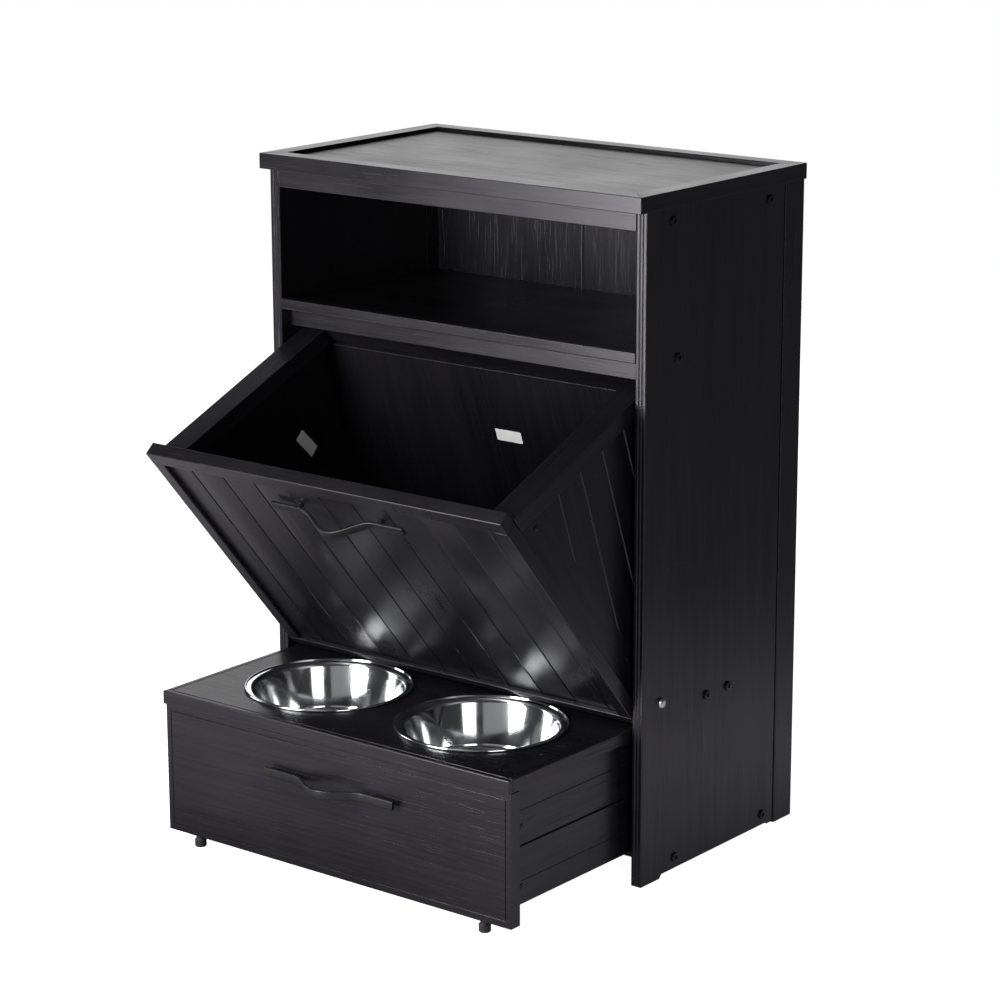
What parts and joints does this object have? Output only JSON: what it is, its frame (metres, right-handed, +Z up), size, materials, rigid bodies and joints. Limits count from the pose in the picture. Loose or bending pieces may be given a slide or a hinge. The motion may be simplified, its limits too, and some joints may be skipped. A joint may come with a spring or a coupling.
{
  "type": "pet food bin",
  "caption": "Upright pet feeding cabinet with an open shelf, a tilt-out food bin with a beaded front, and a pull-out drawer with feeding bowls; shown with both open.",
  "frame": {"origin": "middle of the whole object's footprint on the floor, with the bin tipped open and the drawer pulled out", "axes": "+Z up, +Y towards the back, +X to the right seen from the front"},
  "size_m": [0.6036, 0.6072, 0.86],
  "materials": {
    "black_wood": "satin black stain over open grain",
    "top_wood": "satin charcoal stain over open grain",
    "polished_steel": "mirror polished stainless",
    "handle_black": "semi-gloss black",
    "zinc": "bright zinc plate",
    "glide_black": "matt black"
  },
  "bodies": {
    "cabinet": {"side_panel_left": "black_wood", "rear_leg_left": "black_wood", "drawer_runner_left": "black_wood", "side_panel_right": "black_wood", "rear_leg_right": "black_wood", "drawer_runner_right": "black_wood", "cap_trim_front": "black_wood", "cap_trim_back": "black_wood", "cap_trim_left": "black_wood", "cap_trim_right": "black_wood", "back_board_1": "black_wood", "back_board_2": "black_wood", "back_board_3": "black_wood", "fascia_rail": "black_wood", "top_brace_front": "black_wood", "top_brace_back": "black_wood", "shelf_lip": "black_wood", "bin_stop_rail": "black_wood", "bin_rest_board": "black_wood", "base_rail_front": "black_wood", "base_rail_back": "black_wood", "shelf_board": "black_wood", "top_board": "top_wood", "pivot_bolt_left": "zinc", "pivot_washer_left": "glide_black", "pivot_bolt_right": "zinc", "pivot_washer_right": "glide_black"},
    "bin": {"bin_front_rail_top": "black_wood", "bin_front_rail_bottom": "black_wood", "bin_front_boards": "black_wood", "bin_front_stile_left": "black_wood", "bin_side_stile_left": "black_wood", "bin_side_boards_left": "black_wood", "bin_rim_left": "black_wood", "bin_front_stile_right": "black_wood", "bin_side_stile_right": "black_wood", "bin_side_boards_right": "black_wood", "bin_rim_right": "black_wood", "bin_rim_rear": "black_wood", "bin_back_wall": "black_wood", "bin_floor": "black_wood", "bin_handle": "handle_black"},
    "drawer": {"drawer_front": "black_wood", "drawer_back": "black_wood", "bowl_board": "black_wood", "bowl_board_trim_front": "black_wood", "bowl_board_trim_left": "black_wood", "bowl_board_trim_right": "black_wood", "drawer_side_left": "black_wood", "glide_left": "glide_black", "bowl_left": "polished_steel", "drawer_side_right": "black_wood", "glide_right": "glide_black", "bowl_right": "polished_steel", "drawer_handle": "handle_black"}
  },
  "joints": [
    {"name": "bin_tilt", "type": "hinge", "parent": "cabinet", "child": "bin", "pos_m": [0, 0.00495, 0.2303], "axis": [1, 0, 0], "range_deg": [-40.7, 0]},
    {"name": "drawer_slide", "type": "slide", "parent": "cabinet", "child": "drawer", "axis": [0, -1, 0], "range_m": [-0.235, 0]}
  ]
}
